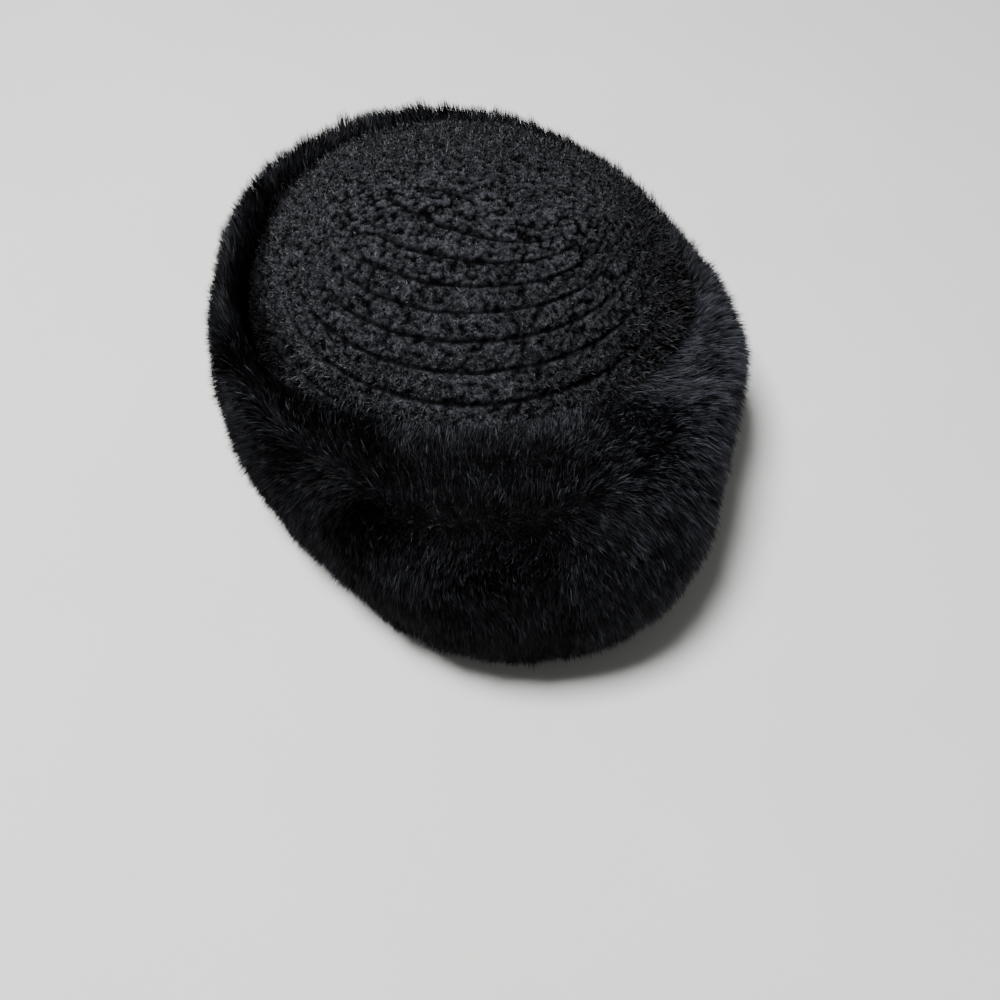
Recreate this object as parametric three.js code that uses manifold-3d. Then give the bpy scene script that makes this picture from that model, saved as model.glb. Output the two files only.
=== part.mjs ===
// Cossack hat: a soft domed crown of quilted chenille in a deep turned-up cuff of long black fur.
// Millimetres, +Z up. The foot of the cuff rests on z = 0 and the deep front of the cuff faces -Y.
import * as THREE from "three";
import { mergeVertices } from "three/addons/utils/BufferGeometryUtils.js";
import Module from "manifold-3d";

const wasm = await Module();
wasm.setup();

// Crown sizes. Reaches are measured from the axis through the middle of the spiral.
const CROWN_TOP = 120;
const APEX_SIDE = -1.3;
const APEX_BACK = 16.7;
const CLOTH = 3;
const DOME_REACH = 82;
const DOME_POWER = 2.2;
const HEM_HEIGHT = 4;
const SHOULDER_REACH = 87.5;
const SHOULDER_DROP = 12;
const WALL_REACH = 88.5;
const WALL_DROP = 30;

// The stitch line is one oval spiral, wound from the back round the wearer's right to the front. Its ovals
// are long and turned in the middle and nearly round at the rim.
const SPIRAL_PITCH = 9.5;
const SPIRAL_TURNS = 7;
const SPIRAL_START = 1.2;
const CORE_PULL = 5.3;
const CORE_TURNS = 2.5;
const STITCH_DEPTH = 1.5;
const CORE_STRETCH = 28.5;
const RIM_STRETCH = 4;
const CORE_TURN = THREE.MathUtils.degToRad(-40);

// Cuff sizes.
const BELLY_HEIGHT = 42;
const CUFF_DEPTH = 35;
const FOOT_INSET = 20;
const UNDERFUR_DEPTH = 9;
const LIP_SPAN = 0.15;
const PIECE_GAP = 0.6;
const LOCK_COUNT = 23;
const LOCK_SWEEP = 0.22;
const LOCK_THICKNESS = 6;
const LOCK_ROOT_DEPTH = 13;
const LOCK_TIP_CLEARANCE = 1.5;

// Sections round the hat, by angle from the front towards +X. Belly and crest are reaches of the fur,
// top, lip and rim are heights of the crest, of the fur's inner edge and of the crown's rim, and gap is
// how far the fur stands off the crown, or leans in over its edge where it is under 0.
const SECTIONS = [
  { angle: 15, belly: 151, crest: 112, top: 88, lip: 88, rim: 83, gap: -6 },
  { angle: 45, belly: 125, crest: 106, top: 80, lip: 84, rim: 80, gap: -5 },
  { angle: 75, belly: 121, crest: 99, top: 70, lip: 74, rim: 79, gap: -2 },
  { angle: 105, belly: 110, crest: 97, top: 72, lip: 72, rim: 84, gap: -1 },
  { angle: 135, belly: 114, crest: 98, top: 79, lip: 76, rim: 91, gap: 0.5 },
  { angle: 165, belly: 116, crest: 101, top: 88, lip: 80, rim: 97, gap: 2 },
  { angle: 195, belly: 118, crest: 103, top: 92, lip: 80, rim: 100, gap: 4 },
  { angle: 225, belly: 118, crest: 103, top: 93, lip: 80, rim: 100, gap: 5 },
  { angle: 255, belly: 116, crest: 101, top: 90, lip: 76, rim: 94, gap: 5 },
  { angle: 285, belly: 117, crest: 102, top: 92, lip: 80, rim: 88, gap: 2 },
  { angle: 315, belly: 124, crest: 107, top: 92, lip: 86, rim: 85, gap: -3 },
  { angle: 345, belly: 147, crest: 114, top: 90, lip: 88, rim: 84, gap: -6 },
];

// Rows of fur locks down the cuff: where the roots lie from crest (0) to foot (1), and lock half width.
const LOCK_ROWS = [
  { root: -0.13, halfWidth: 13 },
  { root: 0.0, halfWidth: 14 },
  { root: 0.14, halfWidth: 15 },
  { root: 0.28, halfWidth: 16 },
  { root: 0.43, halfWidth: 16 },
  { root: 0.58, halfWidth: 15 },
  { root: 0.71, halfWidth: 14 },
];

const COLUMNS = 48;
const RIB_STEPS = 3;
const FULL_TURN = 2 * Math.PI;

// A column of the section table at any angle, smooth and periodic.
function sectionValue(column, angle) {
  const count = SECTIONS.length;
  const first = THREE.MathUtils.degToRad(SECTIONS[0].angle);
  const place = (((angle - first) / FULL_TURN) * count + 4 * count) % count;
  const row = Math.floor(place);
  const t = place - row;
  const [a, b, c, d] = [-1, 0, 1, 2].map((k) => SECTIONS[(row + k + count) % count][column]);
  const slopeIn = (c - a) / 2;
  const slopeOut = (d - b) / 2;
  const bend = 3 * (c - b) - 2 * slopeIn - slopeOut;
  const twist = slopeIn + slopeOut - 2 * (c - b);
  return b + t * (slopeIn + t * (bend + t * twist));
}

// A repeatable number from 0 to 1 for each lock.
function scatter(seed) {
  const value = Math.sin(seed * 12.9898 + 4.1414) * 43758.5453;
  return value - Math.floor(value);
}

// A point at a reach from the apex axis, at an angle from the front.
function reachPoint(reach, angle, height) {
  const x = APEX_SIDE + reach * Math.sin(angle);
  const y = APEX_BACK - reach * Math.cos(angle);
  return new THREE.Vector3(x, y, height);
}

// The short half-width of the spiral after some turns: even rows, with wider first turns.
function spiralReach(turns) {
  const left = Math.max(0, 1 - turns / CORE_TURNS);
  return SPIRAL_PITCH * (turns + SPIRAL_START) - CORE_PULL * left * left;
}

// How far an oval of the crown's spiral reaches from the apex at an angle.
function ovalReach(s, angle) {
  const inner = Math.max(0, 1 - s / DOME_REACH);
  const long = s + RIM_STRETCH + (CORE_STRETCH - RIM_STRETCH) * inner;
  const turn = angle - Math.PI / 2 - CORE_TURN * inner * inner;
  return (long * s) / Math.hypot(s * Math.cos(turn), long * Math.sin(turn));
}

function crownPoint(s, angle, height) {
  return reachPoint(ovalReach(s, angle), angle, height);
}

function domeHeight(s, angle) {
  const drop = CROWN_TOP - sectionValue("rim", angle);
  return CROWN_TOP - drop * (s / DOME_REACH) ** DOME_POWER;
}

function shoulderPoint(angle, inset) {
  const height = sectionValue("rim", angle) - SHOULDER_DROP;
  return crownPoint(SHOULDER_REACH - inset, angle, height);
}

function wallPoint(angle, inset) {
  const height = sectionValue("rim", angle) - WALL_DROP;
  return crownPoint(WALL_REACH - inset, angle, height);
}

// The side wall is straight from the wall ring down to the outline of the opening at the table.
function hemPoint(angle, inset, height) {
  const top = wallPoint(angle, inset);
  const bottom = reachPoint(sectionValue("belly", angle) - CUFF_DEPTH + CLOTH - inset, angle, 0);
  return bottom.lerp(top, height / top.z);
}

function geometryOf(points, faces) {
  const flat = points.flatMap((p) => [p.x, p.y, p.z]);
  const geometry = new THREE.BufferGeometry();
  geometry.setAttribute("position", new THREE.Float32BufferAttribute(flat, 3));
  geometry.setIndex(faces.flat());
  return geometry;
}

function solidOf(geometry) {
  geometry.deleteAttribute("normal");
  geometry.deleteAttribute("uv");
  const welded = mergeVertices(geometry, 1e-3);
  const vertProperties = new Float32Array(welded.attributes.position.array);
  const triVerts = new Uint32Array(welded.index.array);
  return new wasm.Manifold(new wasm.Mesh({ numProp: 3, vertProperties, triVerts }));
}

function geometryOfSolid(solid) {
  const mesh = solid.getMesh();
  const geometry = new THREE.BufferGeometry();
  geometry.setAttribute("position", new THREE.BufferAttribute(mesh.vertProperties, 3));
  geometry.setIndex(new THREE.BufferAttribute(mesh.triVerts, 1));
  return geometry;
}

// Crown: the quilted strip winds outwards as one sheet, so each end of a row meets the row a turn on.
function makeCrown() {
  const points = [];
  const faces = [];
  const add = (point) => points.push(point) - 1;
  const quad = (a, b, c, d) => faces.push([a, d, b], [b, d, c]);
  const angleOf = (column) => Math.PI + (FULL_TURN * column) / COLUMNS;
  const rows = SPIRAL_TURNS * RIB_STEPS;

  const sheet = [];
  for (let row = 0; row <= rows; row++) {
    sheet.push([]);
    for (let column = 0; column < COLUMNS; column++) {
      const s = spiralReach(row / RIB_STEPS + column / COLUMNS);
      const dip = row % RIB_STEPS === 0 ? STITCH_DEPTH : 0;
      const angle = angleOf(column);
      sheet[row].push(add(crownPoint(s, angle, domeHeight(s, angle) - dip)));
    }
  }
  const closing = [];
  for (let row = rows + 1; row <= rows + RIB_STEPS; row++) {
    const s = spiralReach(row / RIB_STEPS);
    closing.push(add(crownPoint(s, Math.PI, domeHeight(s, Math.PI))));
  }
  const at = (row, column) => {
    if (column < COLUMNS) return sheet[row][column];
    return row + RIB_STEPS <= rows ? sheet[row + RIB_STEPS][0] : closing[row + RIB_STEPS - rows - 1];
  };
  for (let row = 0; row < rows; row++) {
    for (let column = 0; column < COLUMNS; column++) {
      quad(at(row, column), at(row, column + 1), at(row + 1, column + 1), at(row + 1, column));
    }
  }

  // The first turn closes round the apex.
  const apex = add(crownPoint(0.001, 0, CROWN_TOP));
  const last = sheet[0][COLUMNS - 1];
  for (let column = 0; column < COLUMNS - 1; column++) {
    faces.push([apex, sheet[0][column], sheet[0][column + 1]]);
  }
  faces.push([apex, last, sheet[0][0]]);
  for (let row = 0; row < RIB_STEPS; row++) {
    faces.push([last, sheet[row + 1][0], sheet[row][0]]);
  }

  const ring = (pointAt) => {
    const made = [];
    for (let column = 0; column < COLUMNS; column++) {
      made.push(add(pointAt(angleOf(column))));
    }
    return made;
  };
  const join = (upper, lower) => {
    for (let column = 0; column < COLUMNS; column++) {
      const next = (column + 1) % COLUMNS;
      quad(upper[column], upper[next], lower[next], lower[column]);
    }
  };

  // The end of the strip steps down to the shoulder.
  const shoulder = ring((angle) => shoulderPoint(angle, 0));
  const step = [sheet[rows][0], ...closing];
  const second = sheet[rows][1];
  for (let row = 0; row < RIB_STEPS; row++) {
    faces.push([step[row], step[row + 1], second]);
  }
  faces.push([step[RIB_STEPS], shoulder[0], second], [shoulder[0], shoulder[1], second]);
  for (let column = 1; column < COLUMNS; column++) {
    const next = (column + 1) % COLUMNS;
    quad(at(rows, column), at(rows, column + 1), shoulder[next], shoulder[column]);
  }

  // Side wall, hem and inner face.
  const wall = ring((angle) => wallPoint(angle, 0));
  const hem = ring((angle) => hemPoint(angle, 0, HEM_HEIGHT));
  const innerHem = ring((angle) => hemPoint(angle, CLOTH, HEM_HEIGHT));
  const innerWall = ring((angle) => wallPoint(angle, CLOTH));
  join(shoulder, wall);
  join(wall, hem);
  join(hem, innerHem);
  join(innerHem, innerWall);
  let upper = innerWall;
  for (const share of [0.99, 0.9, 0.75, 0.58, 0.4, 0.2]) {
    const s = DOME_REACH * share;
    const next = ring((angle) => {
      const drop = CROWN_TOP - sectionValue("rim", angle);
      const slope = (drop * DOME_POWER * share ** (DOME_POWER - 1)) / DOME_REACH;
      return crownPoint(s, angle, domeHeight(s, angle) - CLOTH * Math.hypot(1, slope));
    });
    join(upper, next);
    upper = next;
  }
  const innerApex = add(crownPoint(0.001, 0, CROWN_TOP - CLOTH));
  for (let column = 0; column < COLUMNS; column++) {
    faces.push([upper[column], innerApex, upper[(column + 1) % COLUMNS]]);
  }
  return geometryOf(points, faces);
}

// A point of the cuff: place runs from the lip (under 0) over the crest (0) and belly (0.5) to the foot (1).
function cuffPoint(angle, place, depth) {
  const top = sectionValue("top", angle) - 0.75 * depth;
  const crest = reachPoint(sectionValue("crest", angle), angle, top);
  if (place < 0) {
    const swing = ((-place / LIP_SPAN) * Math.PI) / 2;
    const lipHeight = sectionValue("lip", angle) - 0.4 * depth;
    const lip = crownPoint(WALL_REACH + sectionValue("gap", angle), angle, lipHeight);
    const point = crest.clone().lerp(lip, Math.sin(swing));
    point.z = lip.z + (crest.z - lip.z) * Math.cos(swing);
    return point;
  }
  const belly = reachPoint(sectionValue("belly", angle) - depth, angle, BELLY_HEIGHT);
  if (place < 0.5) {
    const swing = place * Math.PI;
    const point = crest.clone().lerp(belly, Math.sin(swing));
    point.z = belly.z + (crest.z - belly.z) * Math.cos(swing);
    return point;
  }
  const swing = (place - 0.5) * Math.PI;
  const foot = reachPoint(sectionValue("belly", angle) - FOOT_INSET - 0.5 * depth, angle, 0);
  const point = foot.clone().lerp(belly, Math.cos(swing));
  point.z = belly.z * (1 - Math.sin(swing));
  return point;
}

// The backing is a closed ring: inner wall beside the crown, lip, crest, belly and flat foot.
function makeBacking() {
  const points = [];
  const faces = [];
  const places = [-0.15, -0.08, 0, 0.1, 0.2, 0.3, 0.4, 0.5, 0.62, 0.74, 0.87, 1];
  const sections = places.length + 2;
  for (let column = 0; column < COLUMNS; column++) {
    const angle = Math.PI - (FULL_TURN * column) / COLUMNS;
    points.push(hemPoint(angle, -PIECE_GAP, 0), wallPoint(angle, -PIECE_GAP));
    places.forEach((place) => points.push(cuffPoint(angle, place, UNDERFUR_DEPTH)));
  }
  for (let column = 0; column < COLUMNS; column++) {
    const next = (column + 1) % COLUMNS;
    for (let section = 0; section < sections; section++) {
      const after = (section + 1) % sections;
      const a = column * sections + section;
      const b = next * sections + section;
      const c = next * sections + after;
      const d = column * sections + after;
      faces.push([a, b, d], [b, c, d]);
    }
  }
  return geometryOf(points, faces);
}

// One fur lock: a flat pointed wedge that leaves the backing and bends down along the nap.
function makeLock(angle, root, halfWidth, seed) {
  const lean = (scatter(seed) - 0.5) * 0.1;
  const lift = 3.5 * (scatter(seed + 0.37) - 0.5);
  const start = cuffPoint(angle, root, LOCK_ROOT_DEPTH);
  const tip = cuffPoint(angle + lean, root + LOCK_SWEEP, -lift);
  const above = cuffPoint(angle, root + 0.3 * LOCK_SWEEP, 2);
  tip.z = Math.max(tip.z, LOCK_TIP_CLEARANCE);
  const side = new THREE.Vector3(Math.cos(angle), Math.sin(angle), 0);
  const along = tip.clone().sub(start).normalize();
  const up = side.clone().cross(along).normalize();
  const curve = new THREE.QuadraticBezierCurve3(start, above, tip);
  const geometry = new THREE.ConeGeometry(1, 1, 3, 2).rotateY(Math.PI);
  const position = geometry.attributes.position;
  const point = new THREE.Vector3();
  for (let k = 0; k < position.count; k++) {
    const t = position.getY(k) + 0.5;
    const taper = t < 0.99 ? (1 - t * t) / (1 - t) : 0;
    point.copy(curve.getPoint(t));
    point.addScaledVector(side, position.getX(k) * taper * halfWidth);
    point.addScaledVector(up, position.getZ(k) * taper * LOCK_THICKNESS);
    position.setXYZ(k, point.x, point.y, point.z);
  }
  return geometry;
}

// The room that the fur leaves for the crown: the crown's outer form, grown by the gap between the pieces.
function makeCrownRoom() {
  const rings = [
    (angle) => hemPoint(angle, -PIECE_GAP, -1),
    (angle) => wallPoint(angle, -PIECE_GAP),
    (angle) => shoulderPoint(angle, -1.2),
  ];
  for (const s of [85, 76, 60, 40, 20]) {
    rings.push((angle) => crownPoint(s, angle, domeHeight(s, angle) + 1.5));
  }
  const points = [];
  const faces = [];
  rings.forEach((pointAt, row) => {
    for (let column = 0; column < COLUMNS; column++) {
      points.push(pointAt(Math.PI - (FULL_TURN * column) / COLUMNS));
      if (row === 0) continue;
      const next = (column + 1) % COLUMNS;
      const [low, high] = [(row - 1) * COLUMNS, row * COLUMNS];
      faces.push([low + column, high + column, low + next], [high + column, high + next, low + next]);
    }
  });
  const top = points.push(reachPoint(0, 0, CROWN_TOP + 1.5)) - 1;
  const bottom = points.push(reachPoint(0, 0, -1)) - 1;
  const high = (rings.length - 1) * COLUMNS;
  for (let column = 0; column < COLUMNS; column++) {
    const next = (column + 1) % COLUMNS;
    faces.push([high + column, top, high + next], [column, next, bottom]);
  }
  return geometryOf(points, faces);
}

// Angles that share the belly's length out evenly, so locks are as wide at the deep front as at the back.
function evenAngles(count, offset) {
  const steps = 240;
  const lengths = [0];
  for (let k = 1; k <= steps; k++) {
    const from = cuffPoint((FULL_TURN * (k - 1)) / steps, 0.5, 0);
    const to = cuffPoint((FULL_TURN * k) / steps, 0.5, 0);
    lengths.push(lengths[k - 1] + from.distanceTo(to));
  }
  return Array.from({ length: count }, (_, k) => {
    const wanted = ((k + offset + count) % count) * (lengths[steps] / count);
    const step = lengths.findIndex((length) => length > wanted);
    const part = (wanted - lengths[step - 1]) / (lengths[step] - lengths[step - 1]);
    return (FULL_TURN * (step - 1 + part)) / steps;
  });
}

// Fur cuff: rows of locks fused to the backing, clear of the crown and flat at the table.
function makeFurCuff() {
  const solids = [solidOf(makeBacking())];
  LOCK_ROWS.forEach((row, index) => {
    evenAngles(LOCK_COUNT, (index % 2) / 2).forEach((even, k) => {
      const seed = index * 97 + k;
      const angle = even + 0.06 * (scatter(seed + 0.71) - 0.5);
      solids.push(solidOf(makeLock(angle, row.root, row.halfWidth, seed)));
    });
  });
  const table = new THREE.BoxGeometry(400, 400, 50);
  table.translate(0, 0, -25);
  const fused = wasm.Manifold.union(solids).subtract(solidOf(table)).subtract(solidOf(makeCrownRoom()));
  const bodies = fused.decompose().sort((a, b) => b.volume() - a.volume());
  return geometryOfSolid(bodies[0]);
}

const chenille = new THREE.MeshStandardMaterial({ color: 0x2a2c30, roughness: 0.95, metalness: 0 });
const fur = new THREE.MeshStandardMaterial({ color: 0x141519, roughness: 0.7, metalness: 0 });

const group = new THREE.Group();

const crown = new THREE.Mesh(makeCrown(), chenille);
crown.name = "crown";
group.add(crown);

const furCuff = new THREE.Mesh(makeFurCuff(), fur);
furCuff.name = "fur_cuff";
group.add(furCuff);

export default group;
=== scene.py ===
import math

import bpy
import numpy as np
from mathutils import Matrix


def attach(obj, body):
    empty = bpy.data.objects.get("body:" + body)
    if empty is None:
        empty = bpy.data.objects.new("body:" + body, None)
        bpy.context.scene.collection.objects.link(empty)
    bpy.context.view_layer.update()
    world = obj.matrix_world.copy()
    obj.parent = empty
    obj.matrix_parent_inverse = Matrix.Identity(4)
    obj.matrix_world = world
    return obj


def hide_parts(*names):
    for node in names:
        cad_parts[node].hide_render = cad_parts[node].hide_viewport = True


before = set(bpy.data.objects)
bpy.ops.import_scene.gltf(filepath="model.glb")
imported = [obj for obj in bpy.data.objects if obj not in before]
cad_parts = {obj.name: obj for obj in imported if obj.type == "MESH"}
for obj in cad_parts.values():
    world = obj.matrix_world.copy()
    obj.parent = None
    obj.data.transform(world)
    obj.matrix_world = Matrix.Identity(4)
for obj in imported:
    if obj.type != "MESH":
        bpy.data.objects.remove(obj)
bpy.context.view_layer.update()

# Crown cloth.
# A soft domed cap sewn from dark short-pile chenille and quilted along one stitch line, which winds
# outwards in an oval spiral. Its side goes on down behind the fur to a plain hem at the head opening.
# Lengths are in millimetres, and angles go round the hat from the front towards +X.
MM = 0.001
FULL_TURN = 2 * math.pi
CROWN_TOP = 120
APEX_SIDE = -1.3
APEX_BACK = 16.7
CLOTH_THICKNESS = 3
DOME_REACH = 82
DOME_POWER = 2.2
DOME_EDGE = 85
HEM_HEIGHT = 4
HEM_ROUND = 1
HEM_BEVEL = 0.6
WALL_REACH = 88.5
WALL_DROP = 30
CUFF_DEPTH = 35
SPIRAL_PITCH = 9.5
SPIRAL_START = 1.2
CORE_PULL = 5.3
CORE_TURNS = 2.5
CORE_STRETCH = 28.5
RIM_STRETCH = 4
CORE_TILT = math.radians(-40)

# The crown's outside by the way from its top: the reach of its oval and the drop below the dome.
SIDE = [
    dict(run=0, reach=0, drop=0),
    dict(run=DOME_EDGE, reach=DOME_EDGE, drop=0),
    dict(run=88, reach=86.3, drop=5),
    dict(run=92, reach=87.5, drop=9.5),
    dict(run=112, reach=88.5, drop=27.5),
]

# Sections round the hat. Belly and crest are reaches of the fur from the crown's axis, top, lip and
# rim are heights, and gap is how far the fur stands off the crown.
SECTIONS = [
    dict(angle=15, belly=151, crest=112, top=88, lip=88, rim=83, gap=-6),
    dict(angle=45, belly=125, crest=106, top=80, lip=84, rim=80, gap=-5),
    dict(angle=75, belly=121, crest=99, top=70, lip=74, rim=79, gap=-2),
    dict(angle=105, belly=110, crest=97, top=72, lip=72, rim=84, gap=-1),
    dict(angle=135, belly=114, crest=98, top=79, lip=76, rim=91, gap=0.5),
    dict(angle=165, belly=116, crest=101, top=88, lip=80, rim=97, gap=2),
    dict(angle=195, belly=118, crest=103, top=92, lip=80, rim=100, gap=4),
    dict(angle=225, belly=118, crest=103, top=93, lip=80, rim=100, gap=5),
    dict(angle=255, belly=116, crest=101, top=90, lip=76, rim=94, gap=5),
    dict(angle=285, belly=117, crest=102, top=92, lip=80, rim=88, gap=2),
    dict(angle=315, belly=124, crest=107, top=92, lip=86, rim=85, gap=-3),
    dict(angle=345, belly=147, crest=114, top=90, lip=88, rim=84, gap=-6),
]


def section_value(column, angle):
    """A column of the section table at any angle, smooth and periodic."""
    values = np.array([row[column] for row in SECTIONS], float)
    count = len(values)
    place = ((angle - math.radians(SECTIONS[0]["angle"])) / FULL_TURN * count) % count
    row = np.floor(place).astype(int)
    share = place - row
    before, here, after, beyond = (values[(row + step) % count] for step in (-1, 0, 1, 2))
    slope_in = (after - before) / 2
    slope_out = (beyond - here) / 2
    bend = 3 * (after - here) - 2 * slope_in - slope_out
    twist = slope_in + slope_out - 2 * (after - here)
    return here + share * (slope_in + share * (bend + share * twist))


def side_value(column, run):
    """A column of the side table at any way from the crown's top."""
    return np.interp(run, [row["run"] for row in SIDE], [row[column] for row in SIDE])


def reach_point(reach, angle, height):
    """A point by its reach from the crown's axis, its angle and its height."""
    x = APEX_SIDE + reach * np.sin(angle)
    y = APEX_BACK - reach * np.cos(angle)
    return np.stack(np.broadcast_arrays(x, y, height), -1)


def spiral_reach(turns):
    """The short half-width of the spiral after some turns: even rows, with wider first turns."""
    left = np.maximum(0, 1 - turns / CORE_TURNS)
    return SPIRAL_PITCH * (turns + SPIRAL_START) - CORE_PULL * left**2


def oval_shape(oval):
    """The long half-width and the tilt of an oval of the crown, from its short half-width."""
    inner = np.maximum(0, 1 - oval / DOME_REACH)
    return oval + RIM_STRETCH + (CORE_STRETCH - RIM_STRETCH) * inner, CORE_TILT * inner**2


def crown_point(oval, angle, height):
    """A point on an oval of the crown, given by its short half-width."""
    long, tilt = oval_shape(oval)
    turn = angle - math.pi / 2 - tilt
    reach = long * oval / np.hypot(oval * np.cos(turn), long * np.sin(turn))
    return reach_point(reach, angle, height)


def oval_angle(oval, place):
    """The angle of a place round an oval, so that even places lie evenly along its long sides."""
    long, tilt = oval_shape(oval)
    return np.arctan2(oval * np.sin(place), long * np.cos(place)) + math.pi / 2 + tilt


def dome_height(oval, angle):
    """The height of the smooth dome, which falls from its top to the rim."""
    drop = CROWN_TOP - section_value("rim", angle)
    return CROWN_TOP - drop * (oval / DOME_REACH) ** DOME_POWER


def crown_surface(run, angle):
    """A point of the crown's outside: over the dome up to its edge, then down its side."""
    height = dome_height(np.minimum(run, DOME_EDGE), angle) - side_value("drop", run)
    return crown_point(side_value("reach", run), angle, height)


def crown_wall(angle, inset, height):
    """The crown's straight side below the wall ring."""
    top = section_value("rim", angle) - WALL_DROP
    upper = crown_point(WALL_REACH - inset, angle, top)
    foot = section_value("belly", angle) - CUFF_DEPTH + CLOTH_THICKNESS - inset
    lower = reach_point(foot, angle, 0 * angle)
    return lower + (upper - lower) * np.expand_dims(height / top, -1)


SPIRAL_TURNS = np.linspace(-0.4, 9, 400)
FIRST_STITCH = -0.15
LAST_STITCH = 7.7
PITCH_STEP = 0.05
RIB_HEIGHT = 0.6
RIB_ROUND = 0.6
RIB_SINK = 0.6
STITCH_DEPTH = 1.2
STITCH_WIDTH = 0.5
SEAM_WAVES = [dict(outward=97, around=41), dict(outward=-29, around=63), dict(outward=0, around=151)]
SEAM_WOBBLE = 0.16
SEAM_PATCHES = [dict(outward=1.3, around=23), dict(outward=-0.9, around=9)]
SEAM_UNEVEN = 0.1
SEAM_FRONT = math.radians(-16)
SEAM_FADE_START = 0.15
SEAM_FADE_SPAN = 0.5
SEAM_LEAST = 0.12
SEAM_SHADE = 0.68
SEAM_BLACK = 1.35
CORE_SHADE = 0.42
CORE_LIMIT = 40
CORE_SPAN = 25
CORE_END = 10.5
CORE_FADE = 2
EDGE_START = 3
EDGE_LEFT_START = 5
EDGE_LEFT = math.radians(275)
EDGE_SHADE = 7
EDGE_LEAST = 0.1
EDGE_DEEP = 0.8
EDGE_GAP_START = -1
EDGE_GAP_SPAN = 4


def hump(distance, width):
    """One at no distance, and smoothly down to nothing some widths away."""
    return np.exp(-((distance / width) ** 2))


def ramp(value, start, span):
    """Evenly from 0 at the start to 1 at the end of the span."""
    return np.clip((value - start) / span, 0, 1)


def sines(waves, outward, angle):
    """Waves over the crown, each with its own pace outwards and its own pace round."""
    return [np.sin(wave["outward"] * outward + wave["around"] * angle) for wave in waves]


def stitch_distance(oval, angle):
    """Distance to the spiral stitch line, and the place across the rib from 0 to 1."""
    turns = np.interp(oval, spiral_reach(SPIRAL_TURNS), SPIRAL_TURNS)
    pitch = (spiral_reach(turns + PITCH_STEP) - spiral_reach(turns - PITCH_STEP)) / (2 * PITCH_STEP)
    across = turns - ((angle - math.pi) / FULL_TURN) % 1
    across = across + SEAM_WOBBLE / len(SEAM_WAVES) / SPIRAL_PITCH * sum(sines(SEAM_WAVES, turns, angle))
    off_line = across - np.round(across)
    stitched = turns - off_line
    plain = (stitched < FIRST_STITCH) | (stitched > LAST_STITCH) | (oval > DOME_EDGE)
    across = np.where(plain, 0.5, across % 1)
    return np.where(plain, SPIRAL_PITCH / 2, np.abs(off_line) * pitch), across


def seam_depth(oval, angle):
    """How open the stitch groove is: clear in the middle and at the front, overgrown at the back."""
    front = ramp(np.cos(angle - SEAM_FRONT), SEAM_FADE_START, SEAM_FADE_SPAN)
    core = ramp(CORE_END - oval, 0, CORE_FADE)
    open_seam = np.maximum(SEAM_LEAST + (1 - SEAM_LEAST) * front, core)
    patches = np.prod(sines(SEAM_PATCHES, oval, angle), axis=0)
    return open_seam * (1 - SEAM_UNEVEN + SEAM_UNEVEN * patches)


def core_share(oval):
    """How near a place is to the middle of the crown, where the stitch line is drawn in the most."""
    return ramp(CORE_LIMIT - oval, 0, CORE_SPAN)


def seam_shade(distance, oval):
    """How far a place lies in the shade of the stitch groove."""
    return np.minimum(1, SEAM_BLACK * hump(distance, SEAM_SHADE + CORE_SHADE * core_share(oval)))


def edge_light(oval, angle):
    """How light the cloth is near its edge, which lies in the shade where the fur stands off from it."""
    start = DOME_EDGE - EDGE_START - EDGE_LEFT_START * np.clip(np.cos(angle - EDGE_LEFT), 0, 1)
    shaded = EDGE_LEAST + EDGE_DEEP * ramp(section_value("gap", angle), EDGE_GAP_START, EDGE_GAP_SPAN)
    return 1 - shaded * ramp(oval, start, EDGE_SHADE)


NUB_SIZE = 2.3
NUB_REACH = 0.75
NUB_FOOT = 1.3
NUB_HEIGHT = 0.55
PIT_SPACING = 4.4
PIT_SHARE = 0.33
PIT_DEPTH = 0.9
PIT_SHADE = 0.85
SWELL_SIZE = 38
SWELL_HEIGHT = 0.7
CELL_PRIMES = np.array([73856093, 19349663, 83492791])
SEED_PRIME = 7919
CELL_PACES = (1.0, 1.7, 2.3)
CELL_SCRAMBLE = 43758.5453
NOISE_WAVES = 9
NOISE_PACES = (0.7, 1.4)
NOISE_PEAK = 1.3


def cell_distance(points, size, seed):
    """Distance from each point to the nearest of the loose centres, one in each cell, by cell size."""
    cell = np.floor(points / size).astype(np.int64)
    nearest = np.full(len(points), np.inf)
    for step in np.ndindex(3, 3, 3):
        home = cell + np.array(step) - 1
        mixed = (home * CELL_PRIMES).sum(-1) + seed * SEED_PRIME
        loose = [np.modf(np.abs(np.sin(mixed * pace) * CELL_SCRAMBLE))[0] for pace in CELL_PACES]
        offset = points / size - home - np.stack(loose, -1)
        nearest = np.minimum(nearest, np.linalg.norm(offset, axis=-1))
    return nearest


def wave_noise(points, size, seed):
    """Smooth noise from about -1 to 1: a few plane waves of about that wavelength in random directions."""
    draw = np.random.default_rng(seed)
    total = np.zeros(len(points))
    for _ in range(NOISE_WAVES):
        direction = draw.normal(size=3)
        direction *= draw.uniform(*NOISE_PACES) * FULL_TURN / size / np.linalg.norm(direction)
        total += np.sin(points @ direction + draw.uniform(0, FULL_TURN))
    return total / NOISE_WAVES**0.5 / NOISE_PEAK


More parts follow.
